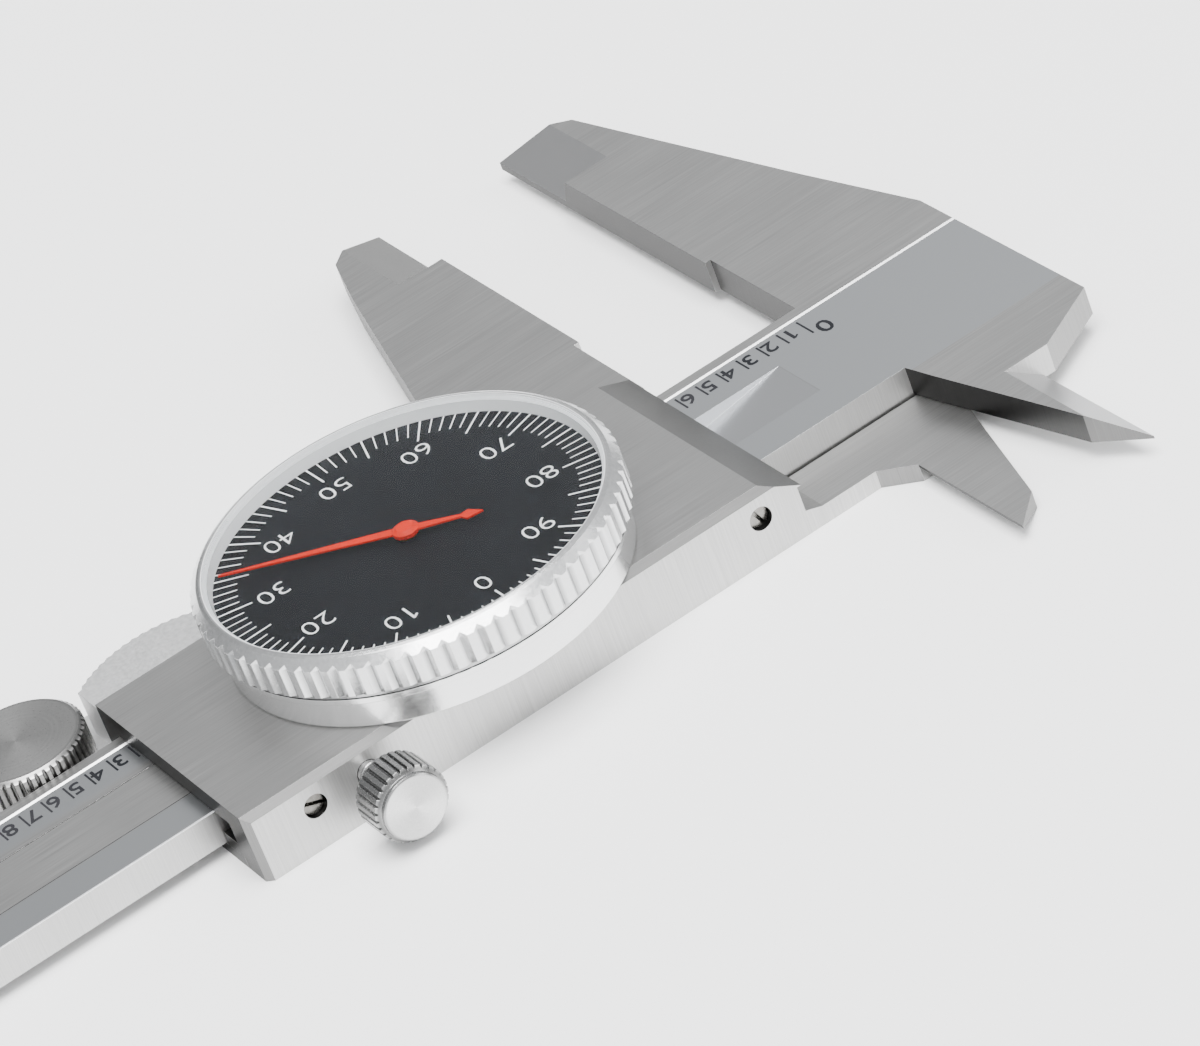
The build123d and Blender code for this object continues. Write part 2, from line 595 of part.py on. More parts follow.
# Pointer with its arrow tail
blade = prism([(-1.0, -0.5), (-5.6, -0.22), (-6.3, -0.75), (-7.9, 0.0), (-6.3, 0.75),
               (-5.6, 0.22), (-1.0, 0.5), (1.0, 0.55), (neck_r - 1.0, 0.1),
               (neck_r - 1.0, -0.1), (1.0, -0.55)], pointer_lo, pointer_lo + pointer_t)
hub = spun([(0, face_top + 0.2), (1.1, face_top + 0.2), (1.35, face_top + 0.4),
            (1.35, face_top + 0.8), (0.9, face_top + 1.1), (0, face_top + 1.1)], 0, 0)
pointing = 90 + dial_turn - 360 * (opening / tick % 1)
pointer = Pos(xc, yc, 0) * Rot(0, 0, pointing) * (blade + hub)
save("pointer", pointer - post(xc, yc, arbor_r, face_top - past, pointer_lo + pointer_t + 0.05))

# Bezel, dial face, its ring, crystal
bezel_r = neck_r + bezel_wall
bore = neck_r + running
crystal_lo = face_top + crystal_rise
bezel_top = crystal_lo + crystal_t + lip_rise
window = neck_r + 0.3
skin = spun([
    (bore, base_top + bezel_gap), (bezel_r - 0.55, base_top + bezel_gap),
    (bezel_r - 0.55, base_top + 0.6), (bezel_r + 0.1, base_top + 0.8),
    (bezel_r + 0.1, bezel_top - 1.15),
    (bezel_r - 0.9, bezel_top - 0.15), (bezel_r - 1.25, bezel_top), (window, bezel_top),
    (window, crystal_lo), (neck_r - 0.1, crystal_lo), (neck_r - 0.3, face_top),
    (bore, face_top)], xc, yc)
flute = [(-1.5, bezel_r), (0.3, bezel_r), (1.9, bezel_r - flute_deep)]
save("bezel", skin & prism(ribs(flutes, flute, xc, yc), base_top, bezel_top + past))
save("dial_face", post(xc, yc, neck_r, face_top - face_t, face_top)
     - post(xc, yc, 1.0, face_top - past, face_top + past))
ring_top = face_top - face_t - 0.04
save("face_retaining_ring",
     spun([(neck_r - 0.9, neck_top + 0.12), (neck_r, neck_top + 0.12), (neck_r, ring_top),
           (neck_r - 0.9, ring_top)], xc, yc))
save("crystal", post(xc, yc, window - 0.02, crystal_lo, crystal_lo + crystal_t))
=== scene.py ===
# %% [markdown]
# # A dial caliper
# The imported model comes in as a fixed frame: every solid stands at its real size and place.
# This lesson gives each of its surfaces a finish, engraves the beam, prints the dial and
# cuts the thread of the lock screw. It ends with the light and the camera.

# %% The frame
import math

import bpy
from mathutils import Euler, Matrix, Vector


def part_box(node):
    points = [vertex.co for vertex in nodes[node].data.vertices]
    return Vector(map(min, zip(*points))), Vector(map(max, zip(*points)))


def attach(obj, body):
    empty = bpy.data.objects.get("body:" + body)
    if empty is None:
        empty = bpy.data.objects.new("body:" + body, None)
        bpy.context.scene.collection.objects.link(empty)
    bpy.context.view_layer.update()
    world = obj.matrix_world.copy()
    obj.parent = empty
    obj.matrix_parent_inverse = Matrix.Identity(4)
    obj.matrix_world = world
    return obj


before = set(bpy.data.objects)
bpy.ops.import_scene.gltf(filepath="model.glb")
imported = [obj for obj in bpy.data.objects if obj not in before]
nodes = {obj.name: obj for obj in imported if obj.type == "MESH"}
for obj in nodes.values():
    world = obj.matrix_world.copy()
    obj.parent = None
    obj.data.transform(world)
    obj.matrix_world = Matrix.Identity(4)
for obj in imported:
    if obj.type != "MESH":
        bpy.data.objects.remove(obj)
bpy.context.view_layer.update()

mm = 0.001


# %% [markdown]
# The places of the finishes and the marks are read from the solids, so that each lies on the
# metal that carries it. Only the lines that no solid's box shows, such as the walls of the
# beam's channel, are given as numbers. The far side is the one of the long outside jaws.

# %% Places that several cells share
beam_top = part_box("beam_with_fixed_jaws")[1].z
slider_low, slider_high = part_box("slider_frame_with_moving_jaws")
face_low, face_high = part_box("dial_face")
lock_low, lock_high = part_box("lock_screw")
dial_x, dial_y = (face_low.x + face_high.x) / 2, (face_low.y + face_high.y) / 2
lock_x, lock_z = (lock_low.x + lock_high.x) / 2, (lock_low.z + lock_high.z) / 2
channel_far, channel_near = 38.9 * mm, 46.56 * mm
beam_near, slider_near = 51.3 * mm, 58.9 * mm
print("dial centre", round(dial_x / mm, 2), round(dial_y / mm, 2), "mm")


# %% [markdown]
# A finish is a small network of shader nodes. These helpers keep the lines that build one
# short: `add` places a node and fills its sockets, `wire` joins an output to an input, and
# `split` gives the three numbers of a place on the solid, or of the surface's direction.

# %% Helpers for shader nodes
def add(tree, kind, settings=None, **inputs):
    node = tree.nodes.new(kind)
    for key, value in (settings or {}).items():
        setattr(node, key, value)
    for key, value in inputs.items():
        node.inputs[key.replace("_", " ")].default_value = value
    return node


def wire(tree, start, end):
    tree.links.new(start, end)


def fill(tree, socket, value):
    """Gives a socket a number, a colour or another node's output."""
    if isinstance(value, (int, float)):
        socket.default_value = value
    elif isinstance(value, tuple):
        socket.default_value = (*value, 1.0)
    else:
        wire(tree, value, socket)


def math_node(tree, operation, first, second=0.5, clamp=False):
    node = add(tree, "ShaderNodeMath", {"operation": operation, "use_clamp": clamp})
    fill(tree, node.inputs[0], first)
    fill(tree, node.inputs[1], second)
    return node.outputs[0]


def split(tree, source="Object"):
    parts = add(tree, "ShaderNodeSeparateXYZ")
    wire(tree, add(tree, "ShaderNodeTexCoord").outputs[source], parts.inputs[0])
    return parts.outputs["X"], parts.outputs["Y"], parts.outputs["Z"]


print("node helpers made")


# %% [markdown]
# Several metals use the same scratches, so these are a node group, which is built once. A
# group has its own inputs and outputs, and each material that places it sets its own values.

# %% Helpers for groups
def new_group(name, inputs, outputs):
    tree = bpy.data.node_groups.new(name, "ShaderNodeTree")
    for title, kind, value in inputs:
        socket = tree.interface.new_socket(title, in_out="INPUT", socket_type=kind)
        socket.default_value = value
    for title, kind in outputs:
        tree.interface.new_socket(title, in_out="OUTPUT", socket_type=kind)
    return tree, tree.nodes.new("NodeGroupInput"), tree.nodes.new("NodeGroupOutput")


def place_group(tree, group, **inputs):
    node = tree.nodes.new("ShaderNodeGroup")
    node.node_tree = group
    for key, value in inputs.items():
        node.inputs[key.replace("_", " ")].default_value = value
    return node


print("group helpers made")


# %% [markdown]
# Ground steel is full of fine parallel scratches. A picture of brushed metal could be laid on,
# but noise that is squeezed across the grain and drawn out along it looks the same, and it
# needs no unwrapping. Walls were ground upright and faces lengthwise, so the group looks at
# the surface's own direction to choose. It gives the scratches as a value from 0 to 1.

# %% The grain group: scratches
FLOAT, VECTOR = "NodeSocketFloat", "NodeSocketVector"
fine, coarse = 9000.0, 150.0
grain, grain_in, grain_out = new_group(
    "steel grain",
    [("Cells", VECTOR, (coarse, fine, fine)), ("Wall cells", VECTOR, (fine, fine, coarse)),
     ("Cloud size", FLOAT, 90.0)],
    [("Scratches", FLOAT), ("Cloud", FLOAT), ("Lean", FLOAT)])
coords = add(grain, "ShaderNodeTexCoord")
place = coords.outputs["Object"]
facing = add(grain, "ShaderNodeSeparateXYZ")
wire(grain, coords.outputs["Normal"], facing.inputs[0])
on_top = math_node(grain, "GREATER_THAN", math_node(grain, "ABSOLUTE", facing.outputs["Z"]), 0.6)
cells = add(grain, "ShaderNodeMix", {"data_type": "VECTOR"})
wire(grain, on_top, cells.inputs[0])
wire(grain, grain_in.outputs["Wall cells"], cells.inputs[4])
wire(grain, grain_in.outputs["Cells"], cells.inputs[5])
stretch = add(grain, "ShaderNodeVectorMath", {"operation": "MULTIPLY"})
wire(grain, place, stretch.inputs[0])
wire(grain, cells.outputs[1], stretch.inputs[1])
scratch = add(grain, "ShaderNodeTexNoise", Scale=1.0, Detail=4.0, Roughness=0.6)
wire(grain, stretch.outputs[0], scratch.inputs["Vector"])
spread = add(grain, "ShaderNodeMapRange", From_Min=0.25, From_Max=0.75)
wire(grain, scratch.outputs["Fac"], spread.inputs["Value"])
wire(grain, spread.outputs[0], grain_out.inputs["Scratches"])
print("group", grain.name, "gives scratches")


# %% [markdown]
# The same group gives a slow cloudiness, as handled steel has, and how much a surface leans
# towards the beam's length or stands at a slope, each from 0 to 1. A leaning surface mirrors
# a darker part of the room, and the metals paint that into its colour as shade.

# %% The grain group: cloud and lean
cloud = add(grain, "ShaderNodeTexNoise", Detail=3.0, Roughness=0.5)
wire(grain, place, cloud.inputs["Vector"])
wire(grain, grain_in.outputs["Cloud size"], cloud.inputs["Scale"])
cloud_spread = add(grain, "ShaderNodeMapRange", From_Min=0.35, From_Max=0.65)
wire(grain, cloud.outputs["Fac"], cloud_spread.inputs["Value"])
wire(grain, cloud_spread.outputs[0], grain_out.inputs["Cloud"])
sloped = math_node(grain, "MULTIPLY", facing.outputs["Y"], facing.outputs["Z"])
sloped = math_node(grain, "MULTIPLY", math_node(grain, "ABSOLUTE", sloped), 1.7)
sideways = math_node(grain, "ABSOLUTE", facing.outputs["X"])
wire(grain, math_node(grain, "MAXIMUM", sideways, sloped), grain_out.inputs["Lean"])
print("group", grain.name, "gives cloud and lean")


# %% [markdown]
# Colours and numbers are mixed in the same few ways again and again: two colours by a mask, a
# number spread over a range, and a colour made darker by another node's output.

# %% Helpers for mixing
def mix_colour(tree, factor, first, second, blend="MIX"):
    node = add(tree, "ShaderNodeMix", {"data_type": "RGBA", "blend_type": blend})
    for index, value in ((0, factor), (6, first), (7, second)):
        fill(tree, node.inputs[index], value)
    return node.outputs[2]


def spread_value(tree, value, low, high):
    """A value between 0 and 1 is stretched to run from low to high."""
    node = add(tree, "ShaderNodeMapRange", To_Min=low, To_Max=high)
    wire(tree, value, node.inputs["Value"])
    return node.outputs[0]


def source_of(socket):
    """The output that feeds a socket now."""
    return socket.links[0].from_socket


def darken(tree, shader, mask, dark):
    """Where the mask is 0 the base colour is multiplied by dark."""
    base = shader.inputs["Base Color"]
    shade = spread_value(tree, mask, dark, 1.0)
    wire(tree, mix_colour(tree, 1.0, source_of(base), shade, "MULTIPLY"), base)


def tint(tree, shader, mask, colour):
    """Where the mask is 1 the base colour is this one."""
    base = shader.inputs["Base Color"]
    wire(tree, mix_colour(tree, mask, source_of(base), colour), base)


print("mixing helpers made")


# %% [markdown]
# Every metal of the caliper could be a network of its own, but they look like one tool when
# all come from the same recipe with other values: a dark and a pale tone that the scratches
# mix, a roughness that they move up and down, and a very low bump. The
# bevel node rounds each sharp edge by a hair, which draws the bright line that a real
# machined edge has. The lean setting darkens the colour of a leaning surface as painted shade,
# and `rim` weakens its mirror edge.

# %% The metal recipe
def principled(name):
    material = bpy.data.materials.new(name)
    material.use_nodes = True
    tree = material.node_tree
    tree.nodes.clear()
    out = tree.nodes.new("ShaderNodeOutputMaterial")
    shader = tree.nodes.new("ShaderNodeBsdfPrincipled")
    wire(tree, shader.outputs[0], out.inputs["Surface"])
    return material, tree, shader


def metal(name, dark, light, rough, cells, bump=0.01, edge=0.1, lean_shade=1.0, rim=1.0):
    material, tree, shader = principled(name)
    marks = place_group(tree, grain, Cells=cells, Wall_cells=cells[::-1])
    tone = mix_colour(tree, marks.outputs["Scratches"], dark, light)
    shade = spread_value(tree, marks.outputs["Cloud"], 0.95, 1.0)
    # Painted shade: a leaning surface's colour is darkened, since it mirrors a darker part of the
    # room.
    leaning = add(tree, "ShaderNodeMapRange", From_Min=0.1, From_Max=1.0, To_Min=1.0, To_Max=lean_shade)
    wire(tree, marks.outputs["Lean"], leaning.inputs["Value"])
    shade = math_node(tree, "MULTIPLY", shade, leaning.outputs[0])
    wire(tree, mix_colour(tree, 1.0, tone, shade, "MULTIPLY"), shader.inputs["Base Color"])
    wire(tree, spread_value(tree, marks.outputs["Scratches"], rough[0], rough[1]),
         shader.inputs["Roughness"])
    shader.inputs["Metallic"].default_value = 1.0
    shader.inputs["Specular Tint"].default_value = (rim, rim, rim, 1.0)
    rounded = add(tree, "ShaderNodeBevel", {"samples": 4}, Radius=edge * mm)
    relief = add(tree, "ShaderNodeBump", Strength=0.35, Distance=bump * mm)
    wire(tree, rounded.outputs[0], relief.inputs["Normal"])
    wire(tree, marks.outputs["Scratches"], relief.inputs["Height"])
    wire(tree, relief.outputs[0], shader.inputs["Normal"])
    return material, tree, shader


print("metal recipe made")


# %% [markdown]
# The small pieces and those with one plain finish come first. Each has a dark tone, a pale
# tone and two ends of its roughness. Ground faces have cells that are long along the beam,
# and turned or sheet metal pieces have cells that are the same every way.

# %% Plain metals
def grey(value):
    return (value, value, value)


ground = ((0.45, 0.448, 0.444), (0.60, 0.597, 0.59), (0.30, 0.40))
along = (90.0, 7000.0, 7000.0)
every_way = (2500.0, 2500.0, 2500.0)
plate_steel = metal("ground steel", *ground, along, edge=0.05, lean_shade=0.1, rim=0.8)[0]
screw_steel = metal("screw steel", grey(0.38), grey(0.52), (0.30, 0.42), every_way)[0]
gib_screw_steel = metal("gib screw steel", (0.20, 0.19, 0.175), (0.32, 0.31, 0.29), (0.2, 0.3),
                        every_way, rim=0.6)[0]
bright_steel = metal("bright steel", grey(0.74), grey(0.84), (0.14, 0.24), every_way)[0]
matte_chrome = metal("matte chrome", grey(0.86), grey(0.95), (0.42, 0.52), every_way)[0]
satin_chrome = metal("satin chrome", grey(0.90), grey(0.96), (0.18, 0.28), every_way)[0]
spring_blue = metal("spring steel", (0.24, 0.26, 0.30), (0.36, 0.39, 0.44), (0.3, 0.4),
                    every_way)[0]
wheel_brass = metal("wheel brass", (0.62, 0.44, 0.17), (0.76, 0.57, 0.26), (0.25, 0.36),
                    every_way)[0]
print("plain metals made")


# %% [markdown]
# A surface often changes its finish at a line. These helpers turn a place on the solid into a
# mask between 0 and 1, and join masks: `both` keeps what lies in all of them, `either` what
# lies in one at least, and `opposite` turns a mask round.

# %% Helpers for masks
def step_up(tree, value, low, high):
    """0 below low, 1 above high."""
    node = add(tree, "ShaderNodeMapRange", From_Min=low, From_Max=high)
    wire(tree, value, node.inputs["Value"])
    return node.outputs[0]


def opposite(tree, mask):
    return math_node(tree, "SUBTRACT", 1.0, mask)


def both(tree, mask, *others):
    """1 where every mask is 1."""
    for other in others:
        mask = math_node(tree, "MULTIPLY", mask, other)
    return mask


def either(tree, first, second):
    return math_node(tree, "MAXIMUM", first, second)


def between(tree, value, low, high, soft):
    """1 from low to high, with soft as half the width of each end."""
    return both(tree, step_up(tree, value, low - soft, low + soft),
                opposite(tree, step_up(tree, value, high - soft, high + soft)))


print("mask helpers made")


# %% [markdown]
# The beam carries two finishes. Its front is satin chrome, smooth and a little blue, from the
# ridge line to the inside jaws' side, and the rest is ground steel. Towards the tail the band
# beside the depth rod is ground too. The borders are straight lines, so the place on the beam
# gives them sharper than a brush would. A mask's end is sharp, crisp or soft, and this number
# is half the width over which it fades.

# %% The beam's masks
ridge = 33.2 * mm
tail_starts, tail_full = 55 * mm, 60 * mm
sharp, crisp, soft = 0.005 * mm, 0.02 * mm, 0.5 * mm
beam_steel, tree, shader = metal("beam steel", *ground, along, edge=0.03, lean_shade=0.1, rim=0.8)
x_along, y_across, z_up = split(tree)
tail = step_up(tree, x_along, tail_starts, tail_full)
front = step_up(tree, z_up, beam_top - 0.02 * mm, beam_top - 0.01 * mm)
in_channel = between(tree, y_across, channel_far, channel_near, crisp)
brushed = between(tree, y_across, channel_far - 1.0 * mm, channel_near, soft)
strip = between(tree, y_across, ridge, beam_near + 1.0 * mm, 0.05 * mm)
strip = math_node(tree, "SUBTRACT", strip, both(tree, brushed, tail), clamp=True)
satin = both(tree, strip, either(tree, front, in_channel))
ramp = both(tree, in_channel, opposite(tree, front))
ridge_highlight = between(tree, y_across, ridge - 0.1 * mm, ridge + 0.14 * mm, 0.03 * mm)
facet = between(tree, split(tree, "Normal")[2], 0.78, 0.99, 0.005)
print("beam masks made")


# %% [markdown]
# Beside the depth rod a thin dark line of painted shade stands for the gap, and the lip of the
# channel is painted a little darker than the face, as shade. Along the beam's near edge a thin
# bright line is a painted highlight. Such lines are finer than the bevel that a solid could
# carry, so they are masks too.

# %% The beam's thin lines
gap = both(tree, tail,
           between(tree, y_across, channel_far - 0.02 * mm, channel_far + 0.02 * mm, sharp),
           between(tree, z_up, beam_top - 0.06 * mm, beam_top - 0.012 * mm, 0.002 * mm))
lip = both(tree, tail,
           between(tree, y_across, channel_far - 0.05 * mm, channel_far + 0.01 * mm, sharp))
near_edge_highlight = both(tree, tail,
                 step_up(tree, z_up, beam_top - 0.14 * mm, beam_top - 0.1 * mm),
                 between(tree, y_across, beam_near - 0.15 * mm, beam_near + 0.1 * mm, crisp))
print("gap, lip and near edge found")


# %% [markdown]
# Each mask lays its tone over the ground steel: blue grey for the satin, pale for the channel
# and the ridge line as painted highlights, dark for the gap and the lip as painted shade. The
# near edge gives off a little light, a painted highlight, and the satin has one even roughness.

# %% The beam's finish
black = grey(0.0)
tint(tree, shader, satin, (0.57, 0.585, 0.60))
# The channel and the ridge line are painted paler: painted highlights.
tint(tree, shader, ramp, (0.80, 0.83, 0.87))
tint(tree, shader, ridge_highlight, (0.9, 0.91, 0.93))
# The gap and the lip are painted darker: painted shade.
darken(tree, shader, opposite(tree, gap), 0.03)
darken(tree, shader, opposite(tree, lip), 0.6)
# Facets that slope a little take one fixed tone by their direction: a painted reflection.
tint(tree, shader, facet, (0.57, 0.57, 0.575))
# The near edge glows a little: a painted highlight.
wire(tree, mix_colour(tree, near_edge_highlight, black, (0.9, 0.92, 0.95)), shader.inputs["Emission Color"])
shader.inputs["Emission Strength"].default_value = 0.8
roughness = add(tree, "ShaderNodeMix", {"data_type": "FLOAT"})
for index, value in ((0, satin), (2, source_of(shader.inputs["Roughness"])), (3, 0.3)):
    fill(tree, roughness.inputs[index], value)
wire(tree, roughness.outputs[0], shader.inputs["Roughness"])
print("beam finish made")


# %% [markdown]
# The depth rod lies flush in the mouth of the channel. Its top is ground like the beam. The gap
# beside it reads as one thin dark line. A wider gap would show better, but the real rod fits
# closely, so its sides and its near edge are painted dark instead, as shade.

# %% The depth rod's finish
rod_steel, tree, shader = metal("rod steel", *ground, along, edge=0.01)
y_across, z_up = split(tree)[1:]
rod_top = beam_top - 0.04 * mm
rod_face = step_up(tree, z_up, rod_top - 0.03 * mm, rod_top - 0.01 * mm)
rod_edge = between(tree, y_across, channel_near - 0.16 * mm, channel_near + 0.1 * mm, 0.01 * mm)
# The rod's sides and near edge are darkened: painted shade in the gap beside it.
darken(tree, shader, rod_face, 0.04)
darken(tree, shader, opposite(tree, rod_edge), 0.15)
print("rod finish made")


# %% [markdown]
# Round pieces need the distance from their own axis. It places the dark bottoms of the
# flutes, the rings that a lathe leaves on a faced end, and the pale wall inside the bezel.

# %% Distance from an axis
def from_axis(tree, centre, axis):
    """Distance from an axis through centre, and the flat vector from it."""
    move = add(tree, "ShaderNodeMapping", Location=tuple(-c for c in centre))
    wire(tree, add(tree, "ShaderNodeTexCoord").outputs["Object"], move.inputs["Vector"])
    flat = add(tree, "ShaderNodeVectorMath", {"operation": "MULTIPLY"})
    flat.inputs[1].default_value = (1.0, 1.0, 0.0) if axis == "Z" else (1.0, 0.0, 1.0)
    wire(tree, move.outputs[0], flat.inputs[0])
    reach = add(tree, "ShaderNodeVectorMath", {"operation": "LENGTH"})
    wire(tree, flat.outputs[0], reach.inputs[0])
    return reach.outputs["Value"], flat.outputs[0]


print("axis helper made")


# %% [markdown]
# The slider is brushed like the beam. The gib's pocket and the screw holes are deep, and no
# light comes back from them, so masks by place darken their walls as painted shade.

# %% The slider's finish
pocket = ((16.96 * mm, slider_high.x - 0.03 * mm),
          (beam_near + 0.02 * mm, beam_near + 3.32 * mm),
          (-0.52 * mm, 2.04 * mm))
gib_screws_x = (22.1 * mm, 74.6 * mm)
hole_r = 1.38 * mm
slider_steel, tree, shader = metal("slider steel", *ground, along, edge=0.05, lean_shade=0.1, rim=0.8)
spot = split(tree)
hollow_shade = both(tree, *(between(tree, value, low, high, sharp)
                      for value, (low, high) in zip(spot, pocket)))
in_wall = between(tree, spot[1], beam_near + 3.3 * mm, slider_near - 0.02 * mm, sharp)
for hole_x in (*gib_screws_x, lock_x):
    reach = from_axis(tree, (hole_x, 0.0, lock_z), "Y")[0]
    hole = both(tree, math_node(tree, "LESS_THAN", reach, hole_r), in_wall)
    hollow_shade = either(tree, hollow_shade, hole)
# The pocket's and the holes' walls are darkened: painted shade.
darken(tree, shader, opposite(tree, hollow_shade), 0.1)
print("slider finish made")


# %% [markdown]
# The roller and the lock screw were faced on a lathe. Their scratches are rings. A groove runs
# round near the rim, and it and the bottoms of the flutes are darkened as painted shade, the
# fluted side a little too. Rings spread every light into two bright wedges. A shader with its
# own grain direction could give these, but painting them with a mask by the direction from the
# axis is plainer and shows them from everywhere.

# %% A turned face
very_fine = (6000.0, 6000.0, 6000.0)


def turned(name, centre, axis, dark, light, rough, radius, wedge, lean_shade=1.0):
    material, tree, shader = metal(name, dark, light, rough, very_fine, bump=0.002, lean_shade=lean_shade)
    reach, flat = from_axis(tree, centre, axis)
    rings = add(tree, "ShaderNodeTexNoise", {"noise_dimensions": "1D"}, Scale=3500.0, Detail=2.0)
    wire(tree, reach, rings.inputs["W"])
    darken(tree, shader, rings.outputs["Fac"], 0.85)
    # The groove and the flutes' bottoms are darkened: painted shade.
    centre_side = opposite(tree, step_up(tree, reach, radius - 0.9 * mm, radius - 0.3 * mm))
    rim_side = step_up(tree, reach, radius - 0.26 * mm, radius - 0.06 * mm)
    darken(tree, shader, either(tree, centre_side, rim_side), 0.55)
    # The fluted side is darkened a little: painted shade.
    flank = step_up(tree, reach, radius - 0.5 * mm, radius - 0.45 * mm)
    darken(tree, shader, opposite(tree, flank), 0.75)
    unit = add(tree, "ShaderNodeVectorMath", {"operation": "NORMALIZE"})
    wire(tree, flat, unit.inputs[0])
    across = add(tree, "ShaderNodeVectorMath", {"operation": "DOT_PRODUCT"})
    wire(tree, unit.outputs[0], across.inputs[0])
    across.inputs[1].default_value = wedge
    # Two bright wedges by the direction from the axis: painted highlights.
    bright = math_node(tree, "POWER", math_node(tree, "ABSOLUTE", across.outputs["Value"]), 4.0)
    darken(tree, shader, bright, 0.72)
    return material


print("recipe for turned faces made")


# %% [markdown]
# The roller turns about an upright axis and the lock screw about one across the beam. Each
# gets its own centre, tones and direction of its bright wedges.

# %% The roller and the lock screw
roller_low, roller_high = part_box("thumb_roller")
roller_x, roller_y = (roller_low.x + roller_high.x) / 2, (roller_low.y + roller_high.y) / 2
roller_r, lock_r = 7.05 * mm, 3.95 * mm
roller_steel = turned("turned roller", (roller_x, roller_y, 0.0), "Z", (0.60, 0.595, 0.585),
                      (0.70, 0.695, 0.685), (0.26, 0.36), roller_r, (0.17, 0.98, 0.0))
lock_steel = turned("turned screw", (lock_x, 0.0, lock_z), "Y", (0.74, 0.74, 0.735),
                    (0.84, 0.84, 0.835), (0.20, 0.30), lock_r, (0.8, 0.0, 0.6), lean_shade=0.5)
print("turned faces made")


# %% [markdown]
# The bezel is satin chrome. The bottoms of its flutes are darkened as painted shade, and
# between the crystal and the dial its inner wall is painted pale, which the mask finds by
# radius and height. Where the wall holds the crystal, a faint painted glow stands for the
# light that comes in through the clear edge.

# %% The bezel's finish
bezel_r, neck_r = 22.0 * mm, 20.2 * mm
bezel_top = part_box("bezel")[1].z
crystal_low, crystal_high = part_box("crystal")
bezel_chrome, tree, shader = metal("bezel chrome", (0.76, 0.765, 0.77), (0.86, 0.865, 0.87),
                                   (0.18, 0.28), every_way)
reach = from_axis(tree, (dial_x, dial_y, 0.0), "Z")[0]
z_up = split(tree)[2]
outside = step_up(tree, reach, neck_r + 0.34 * mm, neck_r + 0.38 * mm)
ridges = step_up(tree, reach, bezel_r - 0.36 * mm, bezel_r - 0.1 * mm)
above = step_up(tree, z_up, bezel_top - 1.2 * mm, bezel_top - 1.1 * mm)
# The flutes' bottoms are darkened: painted shade.
darken(tree, shader, either(tree, ridges, above), 0.55)
inside = both(tree, opposite(tree, outside),
              step_up(tree, z_up, face_high.z - 0.05 * mm, face_high.z))
tint(tree, shader, inside, (0.82, 0.83, 0.84))
wire(tree, opposite(tree, inside), shader.inputs["Metallic"])
seat_glow = both(tree, inside,
            step_up(tree, z_up, crystal_low.z - 0.03 * mm, crystal_low.z - 0.02 * mm),
            math_node(tree, "LESS_THAN", z_up, crystal_high.z))
# The crystal's seat glows a little: painted light.
wire(tree, mix_colour(tree, seat_glow, black, (0.62, 0.63, 0.64)), shader.inputs["Emission Color"])
shader.inputs["Emission Strength"].default_value = 0.8
print("bezel finish made")


# %% [markdown]
# The dial is a painted sheet, black with a faint tooth. Its figures are white, the pointer is
# orange red, and the crystal is clear plastic that only shows where it mirrors a light. A
# low `gloss` keeps a dark paint dark, because it then mirrors less of the pale room.

# %% Paints and crystal
paint_tooth = (4000.0, 4000.0, 4000.0)


def paint(name, dark, light, rough, gloss=0.5):
    material, tree, shader = principled(name)
    marks = place_group(tree, grain, Cells=paint_tooth)
    wire(tree, mix_colour(tree, marks.outputs["Cloud"], dark, light), shader.inputs["Base Color"])
    wire(tree, spread_value(tree, marks.outputs["Scratches"], rough[0], rough[1]),
         shader.inputs["Roughness"])
    shader.inputs["Specular IOR Level"].default_value = gloss
    return material


dial_black = paint("dial black", (0.0017, 0.0024, 0.0040), (0.0019, 0.0027, 0.0045),
                   (0.55, 0.56), gloss=0.15)
mark_white = paint("mark white", grey(0.80), grey(0.88), (0.45, 0.55))
mark_black = paint("engraving black", (0.008, 0.009, 0.011), (0.02, 0.02, 0.023),
                   (0.5, 0.65), gloss=0.1)
pointer_red = paint("pointer red", (0.40, 0.008, 0.0005), (0.46, 0.012, 0.001),
                    (0.40, 0.50), gloss=0.1)
# The gib, deep in the slider's pocket, is painted near black as shade.
shade_black = paint("painted shade black", grey(0.002), grey(0.003), (0.6, 0.7), gloss=0.1)
crystal_clear, tree, shader = principled("clear crystal")
shader.inputs["Base Color"].default_value = (0.98, 0.99, 0.99, 1.0)
shader.inputs["Roughness"].default_value = 0.02
shader.inputs["IOR"].default_value = 1.15
shader.inputs["Transmission Weight"].default_value = 1.0
print("paints and crystal made")


# %% [markdown]
# Each solid takes its finish through its material slot. The mesh of a solid is never touched.
# Screws aren't in the list, because what it doesn't name gets the screws' steel.

# %% Finishes on the solids
finishes = (
    (beam_steel, "beam_with_fixed_jaws"),
    (slider_steel, "slider_frame_with_moving_jaws"),
    (plate_steel, "rack end_stop back_cover"),
    (rod_steel, "depth_rod"),
    # painted shade: the gib is near black
    (shade_black, "gib"),
    (gib_screw_steel, "gib_set_screws"),
    (matte_chrome, "thumb_rest"),
    (roller_steel, "thumb_roller"),
    (lock_steel, "lock_screw"),
    (satin_chrome, "dial_base"),
    (bezel_chrome, "bezel"),
    (crystal_clear, "crystal"),
    (dial_black, "dial_face"),
    (pointer_red, "pointer"),
    (wheel_brass, "movement_bridge drive_wheel return_wheel centre_pinion pivot_bushes"),
    (bright_steel, "rack_pinion_arbor return_wheel_arbor"),
    (spring_blue, "hairspring roller_clip bezel_drag_ring face_retaining_ring"))
finish_of = {name: material for material, names in finishes for name in names.split()}
for name, solid in nodes.items():
    solid.data.materials.clear()
    solid.data.materials.append(finish_of.get(name, screw_steel))
print("finished solids:", len(nodes))


